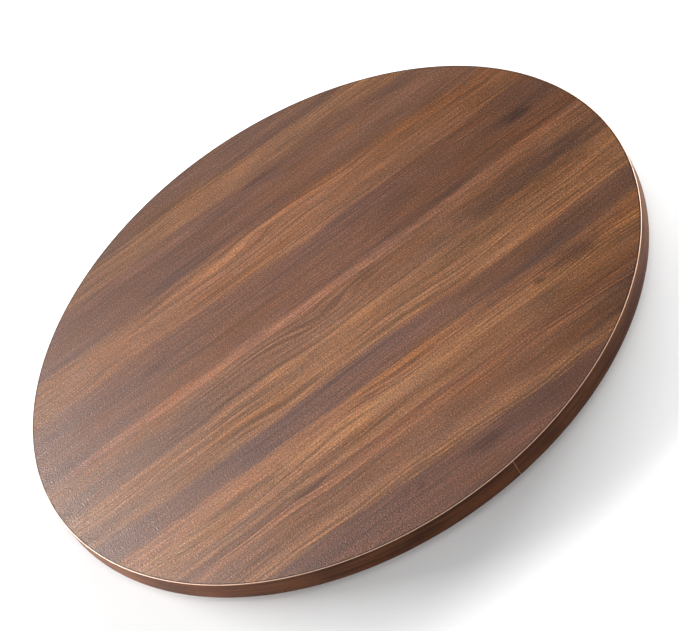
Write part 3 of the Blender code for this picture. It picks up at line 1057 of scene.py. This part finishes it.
def recessShape():
    # the driver's cross, tapering into the head
    bm = bmesh.new()
    arm, half = screw["recessArm"], screw["recessWidth"] / 2
    quarter = [Vector(point) for point in ((arm, -half), (arm, half), (half, half))]
    outline = [Matrix.Rotation(turns * math.pi / 2, 2) @ point for turns in range(4) for point in quarter]
    taper = screw["recessTaper"]
    low = [bm.verts.new((p.x, p.y, -hole["overcut"])) for p in outline]
    high = [bm.verts.new((p.x * taper, p.y * taper, screw["recessDepth"])) for p in outline]
    bm.faces.new(low)
    bm.faces.new(high)
    for index in range(len(outline)):
        after = (index + 1) % len(outline)
        bm.faces.new((low[index], low[after], high[after], high[index]))
    return bm


def threadRadius(height, turns, length):
    # the ridge at this height and angle, drawn in towards the point
    phase = (height / screw["pitch"] - turns) % 1
    ridge = max(0.0, 1 - abs(phase - 0.5) * screw["ridge"])
    body = screw["coreRadius"] + (screw["threadRadius"] - screw["coreRadius"]) * ridge
    fromTip = length - height
    return body * min(1.0, (fromTip / screw["tip"]) ** 0.7) if fromTip > 0 else 0.0


def screwRows(length):
    # (radius, height) for each side of each ring of points, from the head's face to the tip
    around, edge, neck = screw["around"], screw["edge"], screw["neck"]
    head = softCorners([(0, 0, 0), (screw["headRadius"], 0, edge),
                        (screw["coreRadius"], screw["headHeight"] + edge, 0)], closed=False, steps=3)
    rows = [[point] * around for point in head[1:]]
    start = screw["headHeight"] + neck
    thread = length - start - neck
    count = int(thread / (screw["pitch"] / 8))
    for step in range(count):
        height = start + thread * step / count
        rows.append([(threadRadius(height, side / around, length), height) for side in range(around)])
    return rows


def makeScrews():
    length = screwSpots[0][3] - screwSpots[0][2]
    around = screw["around"]
    bm = bmesh.new()
    rings = []
    for row in screwRows(length):
        ring = []
        for side, (radius, height) in enumerate(row):
            angle = 2 * math.pi * side / around
            ring.append(bm.verts.new((radius * math.cos(angle), radius * math.sin(angle), height)))
        rings.append(ring)
    face, point = bm.verts.new((0, 0, 0)), bm.verts.new((0, 0, length))
    for side in range(around):
        after = (side + 1) % around
        bm.faces.new((face, rings[0][side], rings[0][after]))
        bm.faces.new((point, rings[-1][side], rings[-1][after]))
        for here, there in zip(rings, rings[1:]):
            bm.faces.new((here[side], here[after], there[after], there[side]))
    first = newPiece("ringScrew1", bm, zincPlate)
    carve(first, recessShape())
    for number, (x, y, low, _) in enumerate(screwSpots, start=1):
        piece = another(first, f"ringScrew{number}", number)
        piece.location = (x, y, low)
        piece.rotation_euler.z = screw["turned"] * number
        stands(piece, "top", "zinc_steel", f"ring_screw_{number}")


def makeFeet():
    outline = [(0, 0, 0)]  # radius, height and fillet, as in softCorners
    depth, slope = foot["grooveDepth"], foot["grooveSlope"]
    for start in foot["grooves"]:
        end = start + 2 * slope + foot["grooveFloor"]
        outline += [(start, 0, 0.0001), (start + slope, depth, 0.0001), (end - slope, depth, 0.0001),
                    (end, 0, 0.0001)]
    low = foot["barbLow"]
    outline += [
        (foot["radius"] - foot["soleInset"], 0, 0.0003),
        (foot["radius"], foot["soleRise"], 0.0006),
        (foot["radius"], foot["height"], 0.0006),
        (foot["stem"], foot["height"], 0.0003),
        (foot["stem"], low, 0.0002),
        (foot["barb"], low, 0.0002),
        (foot["barb"], low + foot["barbLand"], 0.0002),
        (foot["barbTip"], low + foot["barbHeight"], 0.0003),
        (0, low + foot["barbHeight"], 0),
    ]
    bm = bmesh.new()
    turn(bm, softCorners(outline, closed=False, steps=3), foot["around"], closed=False)
    first = newPiece("rubberFoot1", bm, footRubber, cornerDegrees=45)
    for number, (x, y, _, _) in enumerate(footSpots, start=1):
        piece = another(first, f"rubberFoot{number}", number)
        piece.location = (x, y, 0)
        stands(piece, "base", "rubber", f"rubber_foot_{number}")


def makePlug():
    # a grub screw lying along its hole, with a hexagon socket in its outer end
    radius, socket, chamfer = plug["radius"], plug["socket"], plug["socketChamfer"]
    length = bearing["outerRadius"] - plug["sink"] - bearing["pitch"]
    inner = bearing["ballRadius"] + plug["ballRoom"]
    spot = radial(bearing["pitch"], plug["angle"])
    outline = [(0, inner, 0), (radius * plug["trackFlat"], inner, 0.0003),
               (radius, inner - plug["trackDepth"], 0.0002), (radius, length, 0.0004), (0, length, 0)]
    bm = bmesh.new()
    turn(bm, softCorners(outline, closed=False), plug["around"], closed=False, at=spot)
    piece = newPiece("loadingPlug", bm, blackOxide)
    base = length - plug["socketDepth"]
    outline = [(0, base - 0.0008), (socket, base), (socket, length - chamfer + 0.0001),
               (socket + chamfer, length + 0.0001), (socket + chamfer, length + hole["overcut"]),
               (0, length + hole["overcut"])]
    cutter = bmesh.new()
    turn(cutter, outline, 6, closed=False, at=spot)
    carve(piece, cutter)
    keepFlatsFlat(piece)
    stands(piece, "base", "black_steel", "loading_plug")


def makeLaminates():
    bottom, sheet, overcut = board["bottom"], board["sheet"], hole["overcut"]
    makeLaminate("topLaminate", board["top"] - sheet, "top_laminate")
    makeLaminate("bottomLaminate", bottom, "bottom_laminate",
                 screwHoles(bottom - overcut, bottom + sheet + overcut))


makeLaminates()
makeEdgeBand()
print("board ready")
makeTopRing()
makeBaseRing()
print("rings ready")
makeCage()
makeBalls()
makeScrews()
makeFeet()
makePlug()
print("bearing ready")


def finishCore():
    # the core's CAD solid stays, with fibreboard on it
    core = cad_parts["board_core"]
    core.data.materials.clear()
    core.data.materials.append(fibreboardFinish())


finishCore()


# floor, light and camera

studio = {
    "floorRadius": 2.8,
    "floor": (246, 246, 246),
    "floorDull": (244, 244, 244),
    "floorBright": (248, 248, 248),
    "floorPatch": 0.6,
    "sky": 0.12,
    "backdrop": 0.95,  # what the camera sees past the floor
    # soft boxes: azimuth and elevation in degrees, distance, width and height in metres, watts
    "boxes": {
        "leftBack": (136, 13.5, 5.0, 3.2, 1.6, 585),
        "rightBack": (50, 13, 5.0, 7.0, 1.4, 890),
        "leftLow": (162, 2.5, 5.0, 1.4, 0.4, 520),
        "rightLow": (28, 2.5, 5.0, 1.4, 0.4, 400),
        "front": (270, 38, 4.0, 1.5, 3.6, 74),
        "sheen": (134, 37, 1.55, 0.35, 0.35, 26),
    },
    "matte": ("rightBack",),  # left out of reflections
    "glossy": ("sheen",),  # seen in reflections only
}
view = {
    "azimuth": -3.0,
    "elevation": 39.67,
    "roll": -33.92,
    "distance": 3.221,
    "aim": (0.0077, -0.0272),
    "lens": 142.4,
}


def makeFloor():
    bm = bmesh.new()
    turn(bm, [(0, 0), (studio["floorRadius"], 0)], 96, closed=False)
    material, tree, shader, here = newMaterial("paleFloor", paint(*studio["floor"]), 0.9, specular=0.1)
    tone = cloud(tree, here, studio["floorPatch"])
    colour = between(tree, tone, -0.3, 0.3, studio["floorDull"], studio["floorBright"])
    tree.links.new(colour, shader.inputs["Base Color"])
    newPiece("floor", bm, material)


def makeLights():
    world = bpy.data.worlds.new("studio")
    bpy.context.scene.world = world
    world.use_nodes = True
    sky = world.node_tree.nodes["Background"].inputs
    sky["Color"].default_value = (1, 1, 1, 1)
    seen = place(world.node_tree, "ShaderNodeLightPath").outputs["Is Camera Ray"]
    strength = remap(world.node_tree, seen, 0.0, 1.0, studio["sky"], studio["backdrop"],
                     smooth=False)
    world.node_tree.links.new(strength, sky["Strength"])
    for name, (azimuth, elevation, distance, width, height, power) in studio["boxes"].items():
        lamp = bpy.data.lights.new(name, "AREA")
        lamp.shape = "RECTANGLE"
        lamp.size, lamp.size_y = width, height
        lamp.energy = power
        box = bpy.data.objects.new(name, lamp)
        towards = (Matrix.Rotation(math.radians(azimuth), 4, "Z")
                   @ Matrix.Rotation(math.radians(-elevation), 4, "Y") @ Vector((1, 0, 0)))
        box.location = towards * distance
        box.rotation_euler = (-towards).to_track_quat("-Z", "Y").to_euler()
        box.visible_glossy = name not in studio["matte"]
        box.visible_diffuse = name not in studio["glossy"]
        bpy.context.scene.collection.objects.link(box)


def makeCamera():
    lens = bpy.data.cameras.new("camera")
    lens.lens = view["lens"]
    lens.sensor_width = 36.0
    camera = bpy.data.objects.new("camera", lens)
    turned = (Matrix.Rotation(math.radians(view["azimuth"]), 4, "Z")
              @ Matrix.Rotation(math.radians(90 - view["elevation"]), 4, "X"))
    target = Vector((*view["aim"], board["top"]))
    spot = target + turned @ Vector((0, 0, view["distance"]))
    camera.matrix_world = (Matrix.Translation(spot) @ turned
                           @ Matrix.Rotation(math.radians(view["roll"]), 4, "Z"))
    lens.clip_start, lens.clip_end = 0.05, 50
    bpy.context.scene.collection.objects.link(camera)
    bpy.context.scene.camera = camera


makeFloor()
makeLights()
makeCamera()
bpy.context.scene.view_settings.view_transform = "Standard"
print("studio ready")
